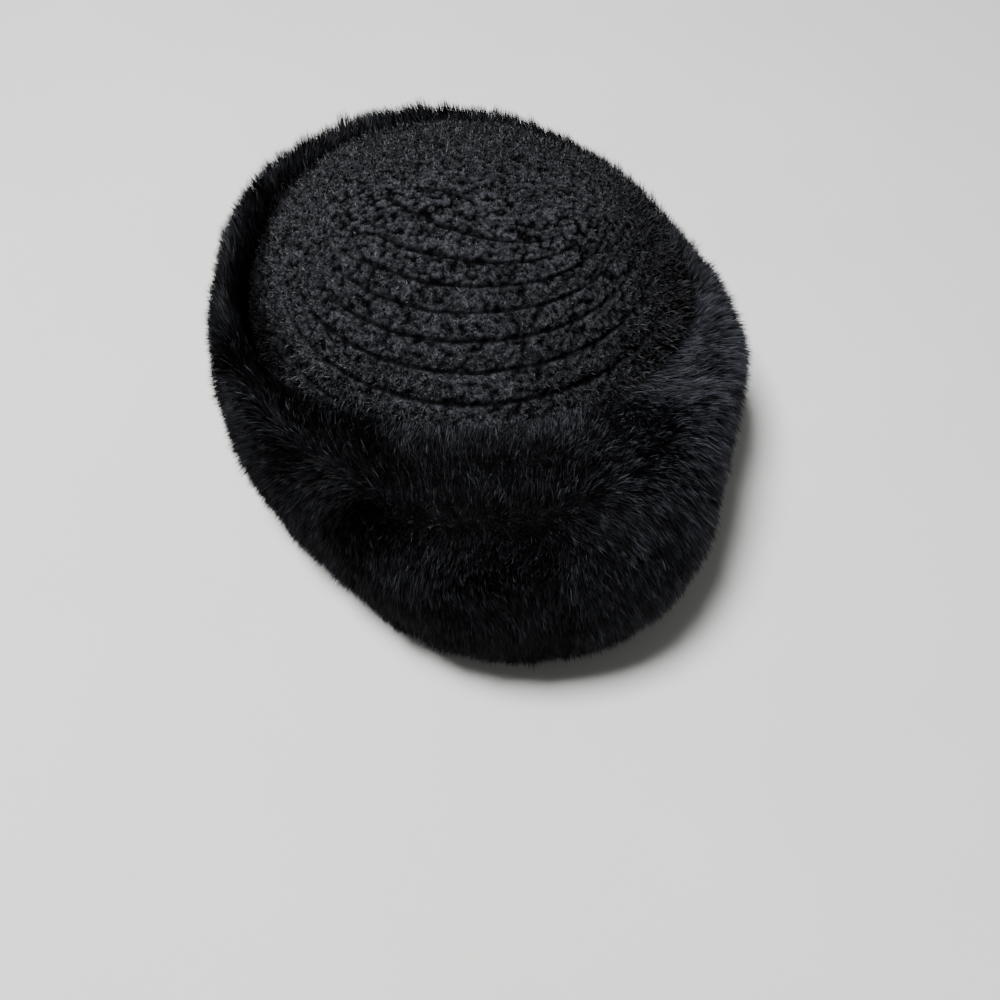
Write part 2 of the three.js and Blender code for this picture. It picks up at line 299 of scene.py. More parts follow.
def quilted_dome(oval, angle):
    """The top of the crown: smooth dome points, their rise along the normal, and how far each is a nub,
    lowered by painted shade in the pits and in the stitch groove.
    """
    base = crown_surface(oval, angle)
    distance, across = stitch_distance(oval, angle)
    rise = RIB_HEIGHT * (np.sin(math.pi * across) ** RIB_ROUND - RIB_SINK)
    open_seam = seam_depth(oval, angle)
    rise -= open_seam * STITCH_DEPTH * hump(distance, STITCH_WIDTH)
    flat = base.reshape(-1, 3)
    lump = 1 - np.clip(cell_distance(flat, NUB_SIZE, seed=3) / NUB_REACH, 0, NUB_FOOT) ** 2
    pit = hump(cell_distance(flat, PIT_SPACING, seed=8), PIT_SHARE)
    swell = NUB_HEIGHT * lump - PIT_DEPTH * pit + SWELL_HEIGHT * wave_noise(flat, SWELL_SIZE, seed=5)
    rise += swell.reshape(oval.shape)
    # Painted shade: the cloth is darker in the pits.
    lump = (np.clip(lump, 0, 1) * (1 - PIT_SHADE * pit)).reshape(oval.shape)
    return base, rise, lump * (1 - open_seam * seam_shade(distance, oval))


def grid_faces(rows, columns):
    """Quads between rows of points that each close into a ring."""
    row, column = np.meshgrid(np.arange(rows - 1), np.arange(columns), indexing="ij")
    across = (column + 1) % columns
    corners = [row * columns + column, row * columns + across]
    corners += [(row + 1) * columns + across, (row + 1) * columns + column]
    return np.stack(corners, -1).reshape(-1, 4)


def slit_faces(first, columns):
    """Quads that close the long narrow ring in the middle of the crown, whose first column is at one end."""
    near = np.arange(columns // 2)
    sides = [near, near + 1, -near - 1, -near]
    return first + np.stack([side % columns for side in sides], -1)


def unit(vectors):
    """Vectors of the same directions with a length of one."""
    return vectors / np.maximum(np.linalg.norm(vectors, axis=-1, keepdims=True), 1e-9)


def grid_normals(grid):
    """Outward unit normals of rows of points that each close into a ring."""
    along = np.gradient(grid, axis=0)
    around = np.roll(grid, -1, 1) - np.roll(grid, 1, 1)
    return unit(np.cross(around, along))


def make_piece(name, points, faces, material):
    """A smooth mesh object from arrays of points in millimetres and of faces."""
    mesh = bpy.data.meshes.new(name)
    mesh.vertices.add(len(points))
    mesh.vertices.foreach_set("co", (points * MM).astype(np.float32).ravel())
    mesh.loops.add(faces.size)
    mesh.loops.foreach_set("vertex_index", faces.astype(np.int32).ravel())
    mesh.polygons.add(len(faces))
    mesh.polygons.foreach_set("loop_start", np.arange(0, faces.size, faces.shape[1], dtype=np.int32))
    mesh.update(calc_edges=True)
    mesh.shade_smooth()
    mesh.materials.append(material)
    piece = bpy.data.objects.new(name, mesh)
    bpy.context.scene.collection.objects.link(piece)
    return piece


class Value:
    """A socket of a material. Sums on it add Math nodes, and node() adds any other node."""

    def __init__(self, tree, socket=None):
        self.tree = tree
        self.socket = socket

    def node(self, kind, settings, inputs, output=0):
        made = self.tree.nodes.new(kind)
        for name, setting in settings.items():
            setattr(made, name, setting)
        for name, given in inputs.items():
            if isinstance(given, Value):
                self.tree.links.new(given.socket, made.inputs[name])
            else:
                made.inputs[name].default_value = given
        return Value(self.tree, made.outputs[output] if len(made.outputs) else None)

    def math(self, operation, first, second):
        return self.node("ShaderNodeMath", {"operation": operation}, {0: first, 1: second})

    def __add__(self, other):
        return self.math("ADD", self, other)

    def __sub__(self, other):
        return self.math("SUBTRACT", self, other)

    def __rsub__(self, other):
        return self.math("SUBTRACT", other, self)

    def __mul__(self, other):
        return self.math("MULTIPLY", self, other)

    __radd__ = __add__
    __rmul__ = __mul__

    def between(self, low, high):
        """A colour from low to high as this value goes from 0 to 1."""
        settings = {"data_type": "RGBA", "clamp_factor": True}
        inputs = {"Factor": self, 6: (*low, 1), 7: (*high, 1)}
        return self.node("ShaderNodeMix", settings, inputs, 2)

    def grain(self, scale, detail):
        """Noise from 0 to 1 over the piece's own coordinates, with so many grains to the metre."""
        place = self.node("ShaderNodeTexCoord", {}, {}, 3)
        return self.node("ShaderNodeTexNoise", {}, {"Vector": place, "Scale": scale, "Detail": detail})


def new_material(name):
    material = bpy.data.materials.new(name)
    material.use_nodes = True
    material.node_tree.nodes.clear()
    return material, Value(material.node_tree)


def finish_material(shade, sockets):
    shader = shade.node("ShaderNodeBsdfPrincipled", {}, sockets)
    shade.node("ShaderNodeOutputMaterial", {}, {"Surface": shader})


# Colours of the cloth: its painted shade in the pits and the groove, and its lit colour on the nubs.
CLOTH_SHADED = (0.001, 0.001, 0.0012)
CLOTH_LIT = (0.054, 0.056, 0.0645)
CLOTH_LEVEL = 0.65
GRAIN_CONTRAST = 2.6

cloth_material, shade = new_material("chenille")
# The nub attribute holds painted light and shade: lit on the nubs, painted shade in the pits, in the stitch
# groove and at the shaded edge.
nub = shade.node("ShaderNodeAttribute", {"attribute_name": "nub"}, {}, 2)
blotch = shade.grain(scale=160.0, detail=3.0)
fine = shade.grain(scale=1000.0, detail=2.0)
light = nub * (CLOTH_LEVEL + (blotch - 0.5) + (fine - 0.5) * GRAIN_CONTRAST)
cloth_sockets = {
    "Base Color": light.between(CLOTH_SHADED, CLOTH_LIT),
    "Roughness": 0.95,
    "Specular IOR Level": 0.01,
    "Normal": shade.node("ShaderNodeBump", {}, {"Strength": 0.5, "Distance": 0.0004, "Height": fine}),
}
finish_material(shade, cloth_sockets)

CLOTH_COLUMNS = 360
CLOTH_ROWS = 140
CLOTH_START = 0.4
SIDE_ROW = 1.5
UNDER_SHARES = (0.99, 0.94, 0.86, 0.75, 0.6, 0.42, 0.22, CLOTH_START / DOME_REACH)
UNDER_NUB = 0.4

column_place = -np.arange(CLOTH_COLUMNS) * FULL_TURN / CLOTH_COLUMNS
dome_runs = np.linspace(CLOTH_START, DOME_EDGE, CLOTH_ROWS)
runs = np.append(dome_runs, np.arange(DOME_EDGE + 1, SIDE[-1]["run"] + 1, SIDE_ROW))
oval, place = np.meshgrid(runs, column_place, indexing="ij")
angle = oval_angle(oval, place)
base, rise, lump = quilted_dome(oval, angle)
dome = base + grid_normals(base) * rise[..., None]
column_angle = oval_angle(WALL_REACH, column_place)
side = [
    crown_wall(column_angle, 0, HEM_HEIGHT + HEM_ROUND),
    crown_wall(column_angle, HEM_BEVEL, HEM_HEIGHT),
    crown_wall(column_angle, CLOTH_THICKNESS - HEM_BEVEL, HEM_HEIGHT),
    crown_wall(column_angle, CLOTH_THICKNESS, HEM_HEIGHT + HEM_ROUND),
    crown_point(WALL_REACH - CLOTH_THICKNESS, column_angle, section_value("rim", column_angle) - WALL_DROP),
]
for share in UNDER_SHARES:
    ring_angle = oval_angle(DOME_REACH * share, column_place)
    drop = CROWN_TOP - section_value("rim", ring_angle)
    slope = drop * DOME_POWER * share ** (DOME_POWER - 1) / DOME_REACH
    height = dome_height(DOME_REACH * share, ring_angle) - CLOTH_THICKNESS * np.hypot(1, slope)
    side.append(crown_point(DOME_REACH * share, ring_angle, height))
rings = np.concatenate([dome, np.stack(side)])
top_slit = slit_faces(0, CLOTH_COLUMNS)[:, ::-1]
under_slit = slit_faces((len(rings) - 1) * CLOTH_COLUMNS, CLOTH_COLUMNS)
quads = np.concatenate([grid_faces(len(rings), CLOTH_COLUMNS), top_slit, under_slit])
faces = np.concatenate([quads[:, [0, 1, 2]], quads[:, [0, 2, 3]]])
whole = (faces[:, 0] != faces[:, 1]) & (faces[:, 1] != faces[:, 2]) & (faces[:, 2] != faces[:, 0])
crown = make_piece("crown_cloth", rings.reshape(-1, 3), faces[whole], cloth_material)
# Painted light and shade on the cloth; the inside of the crown gets one even tone.
nub_light_and_shade = [lump * edge_light(oval, angle), np.full((len(side), CLOTH_COLUMNS), UNDER_NUB)]
nub_light_and_shade = np.concatenate(nub_light_and_shade).astype(np.float32)
crown.data.attributes.new("nub", "FLOAT", "POINT").data.foreach_set("value", nub_light_and_shade.ravel())
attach(crown, "root")
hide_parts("crown")

# Crown pile.
# The loose fibres of the chenille, longer on each nub and shorter in the pits and along the stitches.
# They are part of the cloth's own weave, so they start in its surface. Near the fur they grow longer.
PILE_COUNT = 104000
PILE_ROWS = 200
PILE_COLUMNS = 181
PILE_START = 0.2
PILE_END = 100
PILE_LENGTH = 1.45
PILE_LENGTHS = (0.55, 1.1)
PILE_IN_PIT = 0.55
PILE_WIDTH = 0.3
PILE_SINK = 0.15
PILE_SPREAD = 0.95
PILE_BEND = 0.55
PILE_CURL = 0.3
STITCH_CLEAR = 0.64
STITCH_CLEARS = (0.6, 1.2)
CORE_CLEAR = 0.8
PARTING = 1.0
PARTING_WIDTH = 1.3
SHORT_START = 0.15
SHORT_LEAST = 0.3
SHORT_REACH = 2.4
CORE_SHORT_REACH = 1.6
CORE_CUT = 0.3
BLEND_START = 58
BLEND_SPAN = 26
BLEND_ANGLE = math.radians(62)
BLEND_WIDTH = 0.4
BLEND_LEAN = 0.7
BLEND_GROWTH = 1.8
BLEND_LIGHT = 1.7
SIDE_BLEND_ANGLE = math.radians(312)
SIDE_BLEND_SPAN = math.radians(26)
PILE_TIP = (0.19, 0.195, 0.212)
PILE_ROOT_LIGHT = 0.2
PILE_TONES = (0.01, 0.8)
SHADED_PIT_TONE = 0.04
LIT_NUB_TONE = 0.31
TONE_SPREAD = 0.85
SEAM_DARK = 0.95
BLADE_PLACES = np.array([0, 0.7, 0.7, 1])
BLADE_WIDTHS = (0.7, 1.3)
TURN_NUDGE = 0.01
RUN_NUDGE = 0.7


def blades(root, middle, tip, side, width):
    """Hairs as narrow bent blades: one point at the root, two at the widest place and one at the tip."""
    half = side * (width / 2)[:, None]
    return np.stack([root, middle - half, middle + half, tip], 1)


def scatter(sheet, count, draw):
    """Random places over a grid of points, even by area, as fractions of its rows and columns."""
    sides = sheet[1:, :-1] - sheet[:-1, :-1], sheet[:-1, 1:] - sheet[:-1, :-1]
    area = np.linalg.norm(np.cross(*sides), axis=-1)
    bins = np.cumsum(area) / area.sum()
    pick = np.searchsorted(bins, (np.arange(count) + draw.uniform(0, 1, count)) / count)
    row, column = np.divmod(np.minimum(pick, area.size - 1), area.shape[1])
    return row + draw.uniform(0, 1, count), column + draw.uniform(0, 1, count)


def make_hairs(name, points, shades, normals, material):
    """A piece of blades, with a map that holds each hair's shade across and its root to tip upwards."""
    first = np.arange(len(points))[:, None, None] * 4
    faces = (first + np.array([[0, 2, 1], [1, 2, 3]])).reshape(-1, 3)
    piece = make_piece(name, points.reshape(-1, 3), faces, material)
    corner = faces.ravel()
    spots = np.stack([shades[corner // 4], BLADE_PLACES[corner % 4]], -1)
    piece.data.uv_layers.new(name="OFBake").data.foreach_set("uv", spots.astype(np.float32).ravel())
    each = np.repeat(normals, 4, axis=0)
    piece.data.normals_split_custom_set_from_vertices(each.tolist())
    return piece


def new_hair_material(name):
    """A new material, with the tone of each hair and the place along it from root to tip."""
    material, shade = new_material(name)
    hair_map = shade.node("ShaderNodeUVMap", {"uv_map": "OFBake"}, {})
    tone = shade.node("ShaderNodeSeparateXYZ", {}, {"Vector": hair_map}, 0)
    along_hair = shade.node("ShaderNodeSeparateXYZ", {}, {"Vector": hair_map}, 1)
    return material, shade, tone, along_hair


pile_material, shade, tone, along_hair = new_hair_material("chenille_pile")
# Painted shade deep in the pile: each fibre is darker at its root than at its tip.
light = tone * (PILE_ROOT_LIGHT + (1 - PILE_ROOT_LIGHT) * along_hair * along_hair)
pile_sockets = {
    "Base Color": light.between(CLOTH_SHADED, PILE_TIP),
    "Roughness": 0.8,
    "Specular IOR Level": 0.1,
}
finish_material(shade, pile_sockets)

draw = np.random.default_rng(seed=11)
runs = np.linspace(PILE_START, PILE_END, PILE_ROWS)
turns = np.linspace(0, FULL_TURN, PILE_COLUMNS)
row, column = scatter(crown_surface(runs[:, None], turns[None]), PILE_COUNT, draw)
oval = np.interp(row, np.arange(len(runs)), runs)
angle = column * turns[1]
distance, across = stitch_distance(oval, angle)
open_seam = seam_depth(oval, angle)
bare = STITCH_CLEAR * open_seam * (1 + CORE_CLEAR * core_share(oval))
kept = distance > bare * draw.uniform(*STITCH_CLEARS, PILE_COUNT)
oval, angle, distance, across, open_seam = (each[kept] for each in (oval, angle, distance, across, open_seam))
fibres = len(oval)
core = core_share(oval)
base, rise, lump = quilted_dome(oval, angle)
around = crown_surface(oval, angle - TURN_NUDGE) - crown_surface(oval, angle + TURN_NUDGE)
inner = oval - np.minimum(RUN_NUDGE, oval / 2)
along = unit(crown_surface(oval + RUN_NUDGE, angle) - crown_surface(inner, angle))
outward = unit(np.cross(around, along))
from_line = unit(np.cross(outward, around))
from_line *= np.sign((from_line * along).sum(-1, keepdims=True))
side_blend = hump(angle - SIDE_BLEND_ANGLE, SIDE_BLEND_SPAN)
blend = np.maximum(np.exp((np.cos(angle - BLEND_ANGLE) - 1) / BLEND_WIDTH), side_blend)
blend *= ramp(oval, BLEND_START, BLEND_SPAN)
root = base + outward * (rise - PILE_SINK)[:, None]
growth = outward + PILE_SPREAD * unit(draw.normal(size=(fibres, 3)))
part = open_seam * PARTING * hump(distance, PARTING_WIDTH) * np.where(across < 0.5, 1, -1)
growth += part[:, None] * from_line + BLEND_LEAN * blend[:, None] * along
length = PILE_LENGTH * draw.uniform(*PILE_LENGTHS, fibres) * (PILE_IN_PIT + (1 - PILE_IN_PIT) * lump)
short = np.clip(SHORT_START + distance / (SHORT_REACH + CORE_SHORT_REACH * core), SHORT_LEAST, 1)
length *= (1 - open_seam * (1 - short)) * (1 + BLEND_GROWTH * blend) * (1 - CORE_CUT * core)
middle = root + PILE_BEND * length[:, None] * growth
tip = root + length[:, None] * (growth + PILE_CURL * draw.normal(size=(fibres, 3)))
width_side = unit(np.cross(growth, draw.normal(size=(fibres, 3))))
width = PILE_WIDTH * draw.uniform(*BLADE_WIDTHS, fibres)
points = blades(root, middle, tip, width_side, width)
# Painted shade in the pits and painted light on the nubs, with a random tone from fibre to fibre; then
# painted shade along the stitch groove.
shades = (SHADED_PIT_TONE + LIT_NUB_TONE * lump) * np.exp(TONE_SPREAD * draw.normal(size=fibres))
shades *= 1 - SEAM_DARK * open_seam * seam_shade(distance, oval)
# Painted light on the crown's edge near the fur on the side away from the lamp, and painted shade where the
# fur stands off.
shades *= edge_light(oval, angle) * (1 + BLEND_LIGHT * blend * (1 - side_blend))
shades = np.clip(shades, *PILE_TONES)
ahead_of_apex = base[:, 1] < APEX_BACK
for name, chosen in (("crown_pile_front", ahead_of_apex), ("crown_pile_back", ~ahead_of_apex)):
    pile = make_hairs(name, points[chosen], shades[chosen], outward[chosen], pile_material)
    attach(pile, "root")
    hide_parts("crown")

# Spiral stitching.
# One run of strong black thread that quilts the crown. It is sewn through the cloth in short stitches,
# and each of them lies in the bottom of the groove that it pulls into the pile.
STITCH_SPACING = 3.6
STITCH_LENGTH = 2.7
STITCH_START = 2
STITCH_LIFT = 0.5
STITCH_BOW = 0.3
STITCH_SINK = 0.25
STITCH_PLACES = np.array([0, 0.12, 0.5, 0.88, 1])
STITCH_FATNESS = np.array([0.25, 0.9, 1, 0.9, 0.25])
THREAD_RADIUS = 0.32
THREAD_SIDES = 6
LINE_STEPS = 12000
THREAD_DARK = (0.0004, 0.0004, 0.0005)
THREAD_LIGHT = (0.002, 0.002, 0.0025)

thread_material, shade = new_material("black_thread")
thread_sockets = {
    "Base Color": shade.grain(scale=2500.0, detail=1.0).between(THREAD_DARK, THREAD_LIGHT),
    "Roughness": 0.9,
    "Specular IOR Level": 0.05,
}
finish_material(shade, thread_sockets)

turns = np.linspace(FIRST_STITCH, LAST_STITCH, LINE_STEPS)
line_angle = math.pi + FULL_TURN * turns
line_oval = spiral_reach(turns)
line = crown_point(line_oval, line_angle, dome_height(line_oval, line_angle))
line[:, 2] -= STITCH_DEPTH + RIB_SINK * RIB_HEIGHT - STITCH_LIFT
run = np.append(0, np.cumsum(np.linalg.norm(np.diff(line, axis=0), axis=1)))
starts = np.arange(STITCH_START, run[-1] - STITCH_SPACING, STITCH_SPACING)
stitch_runs = starts[:, None] + STITCH_LENGTH * STITCH_PLACES
centre = np.stack([np.interp(stitch_runs, run, line[:, axis]) for axis in range(3)], -1)
centre[..., 2] += STITCH_BOW * np.sin(math.pi * STITCH_PLACES) - STITCH_SINK
heading = unit(np.gradient(centre, axis=1))
flat_side = unit(np.cross(heading, [0, 0, 1.0]))
over = np.cross(flat_side, heading)
turn = np.arange(THREAD_SIDES) * FULL_TURN / THREAD_SIDES
ring = flat_side[:, :, None] * np.cos(turn)[:, None] + over[:, :, None] * np.sin(turn)[:, None]
tube = centre[:, :, None] + THREAD_RADIUS * STITCH_FATNESS[:, None, None] * ring
one_stitch = grid_faces(len(STITCH_PLACES), THREAD_SIDES)[:, ::-1]
first_points = np.arange(len(starts))[:, None, None] * len(STITCH_PLACES) * THREAD_SIDES
faces = (first_points + one_stitch).reshape(-1, 4)
stitching = make_piece("spiral_stitching", tube.reshape(-1, 3), faces, thread_material)
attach(stitching, "root")

# Fur backing.
# The knitted backing of the fake fur, folded into a deep band round the crown and sewn in at the hem.
# It carries the pile and the hat rests on its folded lower edge.
BELLY_HEIGHT = 42
FOOT_INSET = 20
LIP_SPAN = 0.15
CREST_DEPTH = 0.75
LIP_DEPTH = 0.4
FOOT_DEPTH = 0.5
BACKING_DEPTH = 12
PIECE_GAP = 0.6
BACKING_COLUMNS = 192
BACKING_ROWS = 26
BACKING_DARK = (0.002, 0.002, 0.0025)
BACKING_LIGHT = (0.007, 0.007, 0.008)


def cuff_point(angle, place, depth):
    """A point of the cuff, from the lip (under 0) over the crest (0) and belly (0.5) to the foot (1)."""
    angle, place, depth = np.broadcast_arrays(angle, place, depth)
    belly_reach = section_value("belly", angle)
    crest_height = section_value("top", angle) - CREST_DEPTH * depth
    crest = reach_point(section_value("crest", angle), angle, crest_height)
    lip_height = section_value("lip", angle) - LIP_DEPTH * depth
    lip = crown_point(WALL_REACH + section_value("gap", angle), angle, lip_height)
    belly = reach_point(belly_reach - depth, angle, 0 * angle + BELLY_HEIGHT)
    foot = reach_point(belly_reach - FOOT_INSET - FOOT_DEPTH * depth, angle, 0 * angle)
    inward = np.clip(-place / LIP_SPAN, 0, 1) * math.pi / 2
    outward = np.clip(place, 0, 0.5) * math.pi
    downward = np.clip(place - 0.5, 0, 0.5) * math.pi
    upper = place < 0.5
    mix = np.where(place < 0, np.sin(inward), np.where(upper, np.sin(outward), np.cos(downward)))
    rise = np.where(place < 0, np.cos(inward), np.where(upper, np.cos(outward), 1 - np.sin(downward)))
    low = np.where(place < 0, lip[..., 2], np.where(upper, BELLY_HEIGHT, 0))
    high = np.where(upper, crest[..., 2], BELLY_HEIGHT)
    start = np.where(upper[..., None], crest, foot)
    end = np.where((place < 0)[..., None], lip, belly)
    point = start + (end - start) * mix[..., None]
    point[..., 2] = low + (high - low) * rise
    return point


backing_material, shade = new_material("fur_backing")
knit = shade.grain(scale=900.0, detail=2.0)
backing_sockets = {
    "Base Color": knit.between(BACKING_DARK, BACKING_LIGHT),
    "Roughness": 0.9,
    "Specular IOR Level": 0.1,
    "Normal": shade.node("ShaderNodeBump", {}, {"Strength": 0.6, "Distance": 0.0005, "Height": knit}),
}
finish_material(shade, backing_sockets)

column_angle = -np.arange(BACKING_COLUMNS) * FULL_TURN / BACKING_COLUMNS
wall_top = section_value("rim", column_angle) - WALL_DROP
loop = [
    crown_wall(column_angle, -PIECE_GAP, 0),
    crown_point(WALL_REACH + PIECE_GAP, column_angle, wall_top),
]
for place in np.linspace(-LIP_SPAN, 1, BACKING_ROWS):
    loop.append(cuff_point(column_angle, place, BACKING_DEPTH))
rings = np.stack(loop)
faces = grid_faces(len(rings) + 1, BACKING_COLUMNS) % (len(rings) * BACKING_COLUMNS)
backing = make_piece("fur_backing", rings.reshape(-1, 3), faces, backing_material)
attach(backing, "root")
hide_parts("fur_cuff")

# Fur.
# Dense black plush pile that grows out of the backing, combed outwards from the crown and down to the table.
# The hairs gather into small tufts, with painted shade at the root and a painted bluish sheen along the tips.
TUFT_COUNT = 30000
HAIRS_PER_TUFT = 10
TUFT_RADIUS = 2.2
TUFT_GATHER = 0.5
COMB_GATHER = 0.6
HAIR_WIDTH = 0.22
HAIR_STRAY = 0.9
HAIR_ROLL = 1.2
HAIR_SINK = 0.5
HAIR_LOSS = 2.2
BEND_AHEAD = 0.25
BEND_DEPTH = 0.3
TIP_CLEAR = 0.6
BEND_CLEAR = 0.8
LIP_CLEAR = 1
FACING_SHARE = 0.8
GROWN_SHARE = 0.985
RUN_STEPS = 160
TURN_STEPS = 361
PLACE_STEPS = 240
FUR_NUDGE = 1
FUR_PARTS = ("fur_front", "fur_left", "fur_back", "fur_right")

# How the tufts differ: slow waves over the fur of a size and height, and a spread from tuft to tuft.
TUFT_WAVES = dict(
    lean=dict(size=45, seed=31, height=2.0, spread=0.8),
    sweep=dict(size=35, seed=37, height=1.8, spread=0.9),
    rise=dict(size=24, seed=41, height=1.0, spread=1.0),
    tone=dict(size=22, seed=43, height=0.06, spread=0.06),
)

# The comb lays the hair flat on the wearer's left, towards the front. Behind that it leans to the back,
# and along the crest it stands up, the tallest at the back.
HAIR_SWEEP = 3
SWEEP_START = 0.5
SWEEP_RUN = 50
SWEEP_LIMITS = (0.4, 1.2)
COMB_ANGLE = math.radians(54)
COMB_SPAN = math.radians(40)
COMB_SWEEP = 0.8
COMB_LEAST = 0.8
COMB_SHARE = 1.6
BACK_LEAN = 5
BACK_ANGLE = math.radians(118)
BACK_SPAN = math.radians(36)
HAIR_RISE = 1.0
CREST_RISE = 3.5
CREST_WIDTH = 14
TALL_ANGLE = math.radians(212)
TALL_SPAN = math.radians(38)
CLUMP_SIZE = 8
CLUMP_RISE = 2.2

# The first hairs next to the crown reach over its edge where no gap shows and no comb lays them.
COVER_REACH = 4
COVER_RISE = 2.5
COVER_RUN = 9
COVER_GAP = 2
COVER_GAP_SPAN = 4
COMB_COVER = 0.9

FUR_ROOT = (0.001, 0.001, 0.0015)
FUR_TIP = (0.1, 0.105, 0.13)
ROOT_LIGHT = 0.03
END_LIGHT = 0.3
TIP_LIGHT = 0.7
SHEEN_LIGHT = 0.6

fur_material, shade, tone, along_hair = new_hair_material("black_fur")
# Painted light along each hair: painted shade at the root, a painted highlight at the tip and a painted sheen
# that grows with its tone.
half_way = along_hair * along_hair
bright_end = half_way * half_way
bright_tip = bright_end * bright_end
tip_light = ROOT_LIGHT + END_LIGHT * bright_tip + TIP_LIGHT * bright_tip * bright_tip
light = tone * (tip_light + SHEEN_LIGHT * tone * half_way)
fur_sockets = {
    "Base Color": light.between(FUR_ROOT, FUR_TIP),
    "Roughness": 0.55,
    "Specular IOR Level": 0.1,
}
finish_material(shade, fur_sockets)

turn_steps = np.linspace(0, FULL_TURN, TURN_STEPS)
place_steps = np.linspace(-LIP_SPAN, 1, PLACE_STEPS)
sheet = cuff_point(turn_steps[:, None], place_steps[None], 0)
lengths = np.cumsum(np.linalg.norm(np.diff(sheet, axis=1), axis=-1), axis=1)
lengths = np.concatenate([np.zeros((TURN_STEPS, 1)), lengths], 1)
full_length = lengths[:, -1]
shares = np.linspace(0, 1, RUN_STEPS + 1)
place_table = np.stack([np.interp(shares * own[-1], own, place_steps) for own in lengths])
crest_run = np.stack([np.interp(0, place_steps, own) for own in lengths])


def fur_point(angle, run, depth):
    """A point of the cuff by its distance from the lip, measured over the outside."""
    column = (angle % FULL_TURN) / FULL_TURN * (TURN_STEPS - 1)
    left = np.minimum(column.astype(int), TURN_STEPS - 2)
    length = full_length[left] + (full_length[left + 1] - full_length[left]) * (column - left)
    row = np.clip(run / length, 0, 1) * RUN_STEPS
    low = np.minimum(row.astype(int), RUN_STEPS - 1)
    near = place_table[left, low]
    near = near + (place_table[left, low + 1] - near) * (row - low)
    far = place_table[left + 1, low]
    far = far + (place_table[left + 1, low + 1] - far) * (row - low)
    return cuff_point(angle, near + (far - near) * (column - left), depth)


def fur_normal(angle, run):
    """The outward unit normal of the fur's outside."""
    down = fur_point(angle, run + FUR_NUDGE, 0) - fur_point(angle, run - FUR_NUDGE, 0)
    around = fur_point(angle + TURN_NUDGE, run, 0) - fur_point(angle - TURN_NUDGE, run, 0)
    return unit(np.cross(down, around))


draw = np.random.default_rng(seed=23)
grown = int(GROWN_SHARE * RUN_STEPS)
column, row = scatter(cuff_point(turn_steps[:, None], place_table[:, :grown], 0), TUFT_COUNT, draw)
tuft_angle = column * turn_steps[1]
tuft_run = row / RUN_STEPS * np.interp(tuft_angle, turn_steps, full_length)
tuft_home = fur_point(tuft_angle, tuft_run, 0)
tuft_reach = np.hypot(tuft_home[:, 0] - APEX_SIDE, tuft_home[:, 1] - APEX_BACK)
past_crest = tuft_run - np.interp(tuft_angle, turn_steps, crest_run)
laid = hump(tuft_angle - COMB_ANGLE, COMB_SPAN)
clump = wave_noise(tuft_home, CLUMP_SIZE, seed=47)
hairs = TUFT_COUNT * HAIRS_PER_TUFT


def per_hair(values):
    return np.repeat(values, HAIRS_PER_TUFT, axis=0)


def uneven(kind):
    """How far each tuft departs from the even fur, by one row of the table of waves."""
    waves = TUFT_WAVES[kind]
    slow = waves["height"] * wave_noise(tuft_home, waves["size"], waves["seed"])
    return slow + waves["spread"] * draw.normal(size=TUFT_COUNT)


tuft_lean = uneven("lean") + BACK_LEAN * hump(tuft_angle - BACK_ANGLE, BACK_SPAN)
tuft_sweep = HAIR_SWEEP * (np.clip(SWEEP_START + past_crest / SWEEP_RUN, *SWEEP_LIMITS) + COMB_SWEEP * laid)
tuft_sweep = tuft_sweep * (COMB_LEAST + COMB_SHARE * laid) + uneven("sweep")
crest_rise = CREST_RISE * (1 + hump(tuft_angle - TALL_ANGLE, TALL_SPAN)) + CLUMP_RISE * clump
tuft_rise = HAIR_RISE + uneven("rise") + crest_rise * hump(past_crest, CREST_WIDTH)
spread = TUFT_RADIUS * np.sqrt(draw.uniform(0, 1, hairs))
swing = draw.uniform(0, FULL_TURN, hairs)
gather = 1 - TUFT_GATHER * (1 + COMB_GATHER * per_hair(laid))
aside = spread * np.cos(swing)
ahead = spread * np.sin(swing)
turn_size = per_hair(tuft_reach)
root_angle = per_hair(tuft_angle) + aside / turn_size
root_run = np.maximum(per_hair(tuft_run) + ahead, 0)
stray = draw.normal(size=(2, hairs)) * HAIR_STRAY
tip_angle = per_hair(tuft_angle) + (per_hair(tuft_lean) + aside * gather + stray[0]) / turn_size
tip_run = np.maximum(per_hair(tuft_run) + ahead * gather + per_hair(tuft_sweep) + stray[1], LIP_CLEAR)
tip_depth = -per_hair(tuft_rise) + HAIR_LOSS * np.abs(draw.normal(size=hairs))
root = fur_point(root_angle, root_run, BACKING_DEPTH + HAIR_SINK)
tip = fur_point(tip_angle, tip_run, tip_depth)
bend = fur_point(root_angle, root_run + BEND_AHEAD * (tip_run - root_run), BEND_DEPTH * BACKING_DEPTH)
cover = ramp(COVER_GAP - section_value("gap", tip_angle), 0, COVER_GAP_SPAN) * hump(root_run, COVER_RUN)
cover *= 1 - COMB_COVER * per_hair(laid)
tip += cover[:, None] * (reach_point(-COVER_REACH, tip_angle, COVER_RISE) - reach_point(0, tip_angle, 0))
tip[:, 2] = np.maximum(tip[:, 2], TIP_CLEAR)
bend[:, 2] = np.maximum(bend[:, 2], BEND_CLEAR)
widest = BLADE_PLACES[1]
middle = (1 - widest) ** 2 * root + 2 * widest * (1 - widest) * bend + widest**2 * tip
heading = unit(tip - middle)
surface = fur_normal(root_angle, root_run)
facing = unit(surface - FACING_SHARE * heading * (surface * heading).sum(-1, keepdims=True))
roll = draw.uniform(-HAIR_ROLL, HAIR_ROLL, (hairs, 1))
flat_side = unit(np.cross(heading, facing))
flat_side = flat_side * np.cos(roll) + np.cross(flat_side, heading) * np.sin(roll)
width = HAIR_WIDTH * draw.uniform(*BLADE_WIDTHS, hairs)
